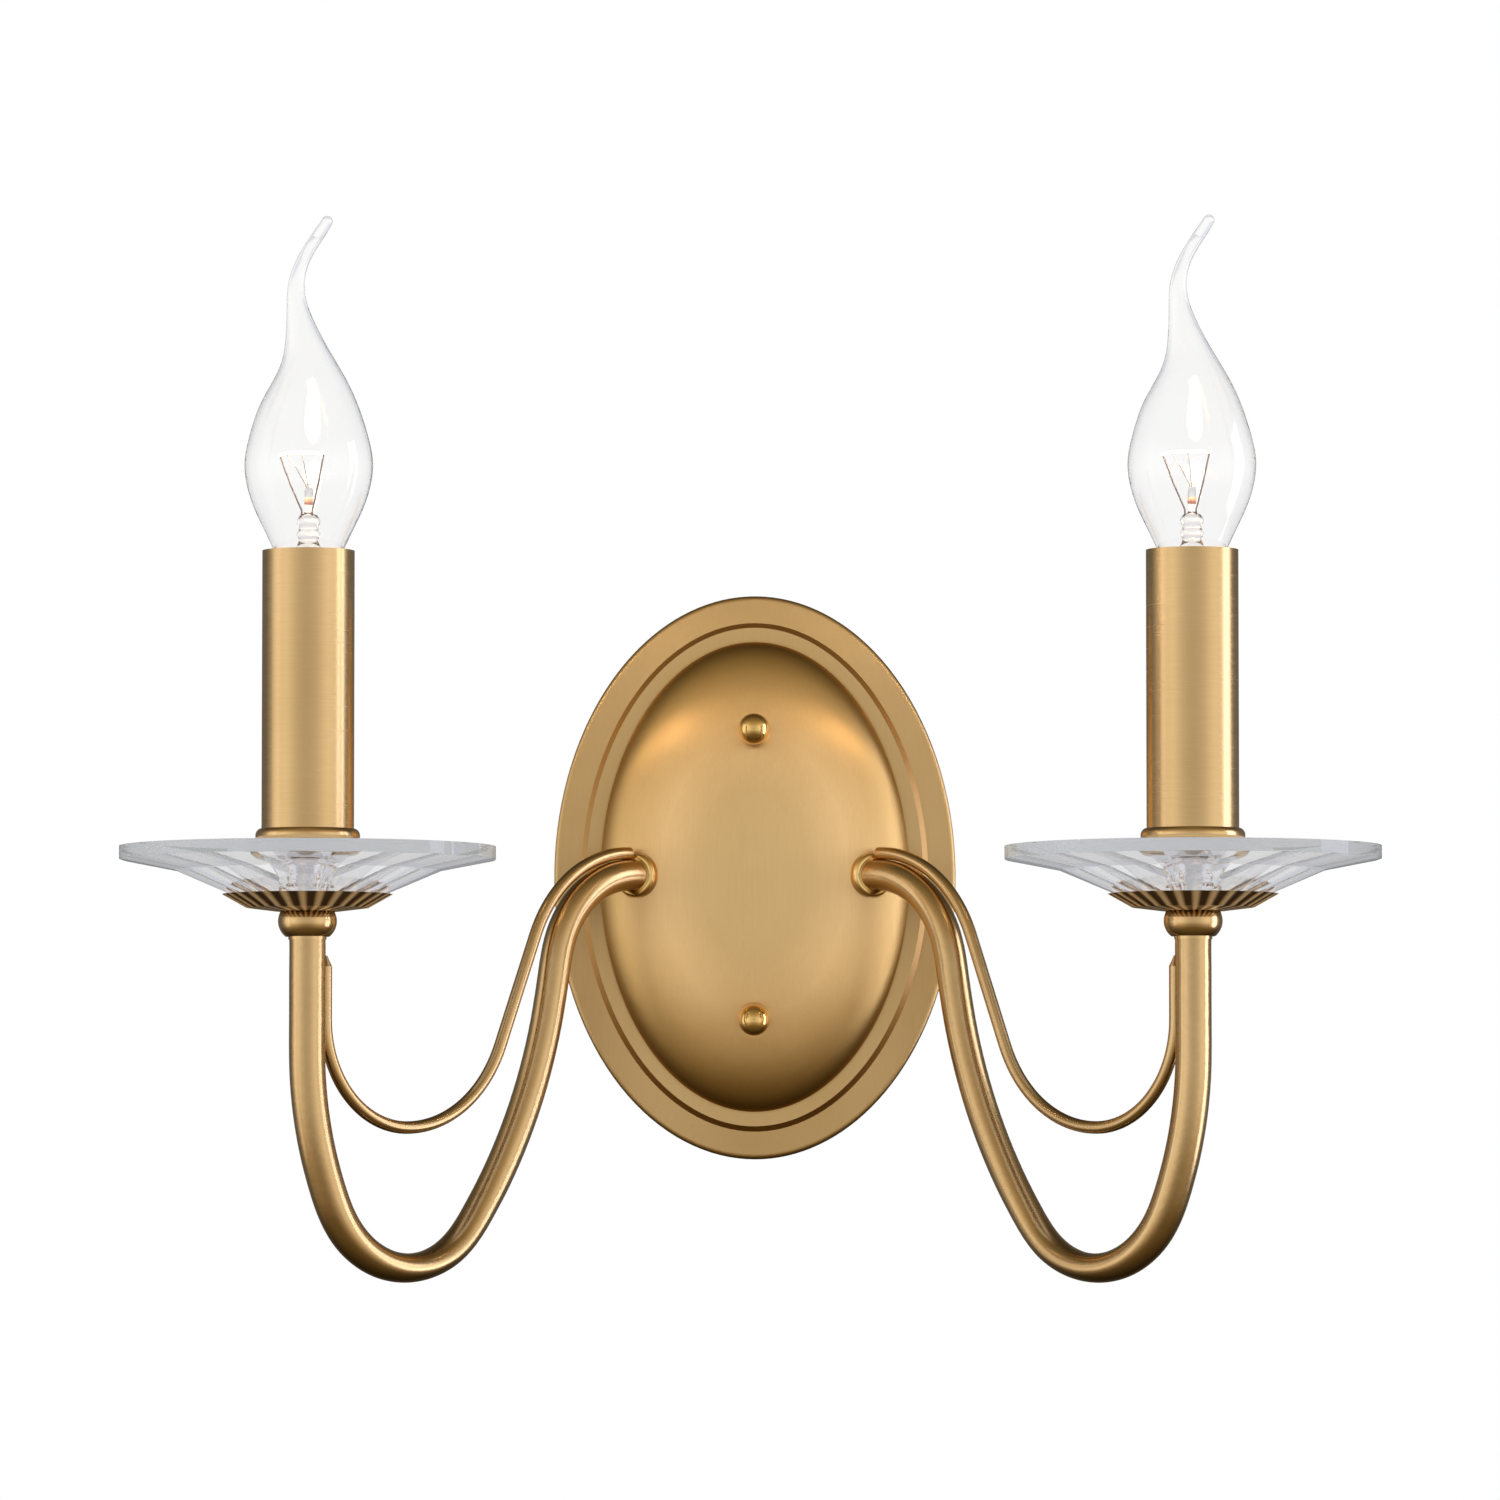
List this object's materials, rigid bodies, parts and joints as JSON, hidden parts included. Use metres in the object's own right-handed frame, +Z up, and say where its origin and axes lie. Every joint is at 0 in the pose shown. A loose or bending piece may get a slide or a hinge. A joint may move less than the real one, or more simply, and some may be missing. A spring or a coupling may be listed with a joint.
{
  "type": "double arm wall sconce",
  "caption": "Wall light with an oval domed backplate, swept arms with scroll rods, fluted cups, faceted crystal dishes and candle sleeves with bent-tip lamps.",
  "frame": {"origin": "middle of the bracket's wall face, on the wall plane, level with the arm sockets", "axes": "+Z up, -Y out of the wall towards the viewer, +X to the viewer's right"},
  "size_m": [0.3434, 0.1558, 0.2914],
  "materials": {
    "bracket_steel": "zinc plated steel sheet",
    "screw_steel": "zinc plated steel",
    "block_plastic": "moulded, natural white",
    "earth_brass": "plain brass",
    "earth_insulation": "green and yellow insulation, plain copper eye",
    "plate_brass": "satin antique brass, brushed upright",
    "polished_brass": "polished brass",
    "arm_brass": "satin antique brass, lacquered",
    "collar_brass": "satin antique brass",
    "cup_brass": "darkened antique brass with light edges",
    "pan_brass": "satin antique brass",
    "sleeve_brass": "satin antique brass",
    "felt_washer": "soft washer",
    "crystal": "clear, cut and polished",
    "spindle_glass": "clear, moulded flutes",
    "holder_plastic": "moulded, heat resistant",
    "contact_brass": "plain brass",
    "bulb_black_glass": "black glass insulator",
    "cap_metal": "rolled thread",
    "bulb_glass": "clear, thin blown",
    "stem_glass": "clear, pressed",
    "filament": "coiled tungsten on nickel wires, glowing",
    "lead_insulation": "insulated flexible leads"
  },
  "bodies": {
    "sconce": {"arm_ferrule_left": "polished_brass", "arm_ferrule_right": "polished_brass", "arm_locknuts": "screw_steel", "arm_lockwashers": "screw_steel", "arm_tube_left": "arm_brass", "arm_tube_right": "arm_brass", "backplate": "plate_brass", "ball_collar_left": "collar_brass", "ball_collar_right": "collar_brass", "block_screw": "screw_steel", "candle_pan_left": "pan_brass", "candle_pan_right": "pan_brass", "crystal_dish_left": "crystal", "crystal_dish_right": "crystal", "dish_washers": "felt_washer", "earth_lead": "earth_insulation", "earth_screw": "earth_brass", "fluted_cup_left": "cup_brass", "fluted_cup_right": "cup_brass", "glass_spindle_left": "spindle_glass", "glass_spindle_right": "spindle_glass", "lampholder_body_left": "holder_plastic", "lampholder_body_right": "holder_plastic", "lampholder_contact_left": "contact_brass", "lampholder_contact_right": "contact_brass", "lampholder_leg_left": "bracket_steel", "lampholder_leg_right": "bracket_steel", "lampholder_shell_left": "contact_brass", "lampholder_shell_right": "contact_brass", "lead_wires_left": "lead_insulation", "lead_wires_right": "lead_insulation", "mounting_bracket": "bracket_steel", "mounting_studs": "screw_steel", "nipple_nuts": "screw_steel", "scroll_rod_left": "arm_brass", "scroll_rod_right": "arm_brass", "stud_locknuts": "screw_steel", "terminal_block": "block_plastic", "terminal_screws": "screw_steel", "threaded_nipple_left": "screw_steel", "threaded_nipple_right": "screw_steel"},
    "fixing_nut_bottom": {"ball_nut_bottom": "polished_brass"},
    "fixing_nut_top": {"ball_nut_top": "polished_brass"},
    "lamp_left": {"bulb_cap_left": "cap_metal", "bulb_filament_left": "filament", "bulb_glass_left": "bulb_glass", "bulb_insulator_left": "bulb_black_glass", "bulb_stem_left": "stem_glass"},
    "lamp_right": {"bulb_cap_right": "cap_metal", "bulb_filament_right": "filament", "bulb_glass_right": "bulb_glass", "bulb_insulator_right": "bulb_black_glass", "bulb_stem_right": "stem_glass"},
    "lamp_foot_left": {"bulb_foot_contact_left": "contact_brass"},
    "lamp_foot_right": {"bulb_foot_contact_right": "contact_brass"},
    "sleeve_left": {"candle_sleeve_left": "sleeve_brass"},
    "sleeve_right": {"candle_sleeve_right": "sleeve_brass"},
    "fixing_washer_bottom": {"nut_washer_bottom": "polished_brass"},
    "fixing_washer_top": {"nut_washer_top": "polished_brass"}
  },
  "joints": [
    {"name": "bulb_rise_left", "type": "slide", "parent": "sconce", "child": "lamp_foot_left", "axis": [0, 0, 1], "range_m": [0, 0.00706]},
    {"name": "bulb_turn_left", "type": "hinge", "parent": "lamp_foot_left", "child": "lamp_left", "pos_m": [-0.1205, -0.1045, 0.06], "axis": [0, 0, 1], "range_deg": [0, 900]},
    {"name": "sleeve_lift_left", "type": "slide", "parent": "sconce", "child": "sleeve_left", "axis": [0, 0, 1], "range_m": [0, 0.002]},
    {"name": "bulb_rise_right", "type": "slide", "parent": "sconce", "child": "lamp_foot_right", "axis": [0, 0, 1], "range_m": [0, 0.00706]},
    {"name": "bulb_turn_right", "type": "hinge", "parent": "lamp_foot_right", "child": "lamp_right", "pos_m": [0.1205, -0.1045, 0.06], "axis": [0, 0, 1], "range_deg": [0, 900]},
    {"name": "sleeve_lift_right", "type": "slide", "parent": "sconce", "child": "sleeve_right", "axis": [0, 0, 1], "range_m": [0, 0.002]},
    {"name": "nut_back_top", "type": "slide", "parent": "sconce", "child": "fixing_washer_top", "axis": [0, -1, 0], "range_m": [0, 0.0035]},
    {"name": "nut_turn_top", "type": "hinge", "parent": "fixing_washer_top", "child": "fixing_nut_top", "pos_m": [0, -0.022, 0.041], "axis": [0, -1, 0], "range_deg": [0, 1801]},
    {"name": "nut_back_bottom", "type": "slide", "parent": "sconce", "child": "fixing_washer_bottom", "axis": [0, -1, 0], "range_m": [0, 0.0035]},
    {"name": "nut_turn_bottom", "type": "hinge", "parent": "fixing_washer_bottom", "child": "fixing_nut_bottom", "pos_m": [0, -0.022, -0.041], "axis": [0, -1, 0], "range_deg": [0, 1801]}
  ],
  "couplings": [
    {"joint": "bulb_rise_left", "follows": "bulb_turn_left", "m_per_rad": 0.00044913},
    {"joint": "bulb_rise_right", "follows": "bulb_turn_right", "m_per_rad": 0.00044913},
    {"joint": "nut_turn_top", "follows": "nut_back_top", "rad_per_m": 8976},
    {"joint": "nut_turn_bottom", "follows": "nut_back_bottom", "rad_per_m": 8976}
  ]
}
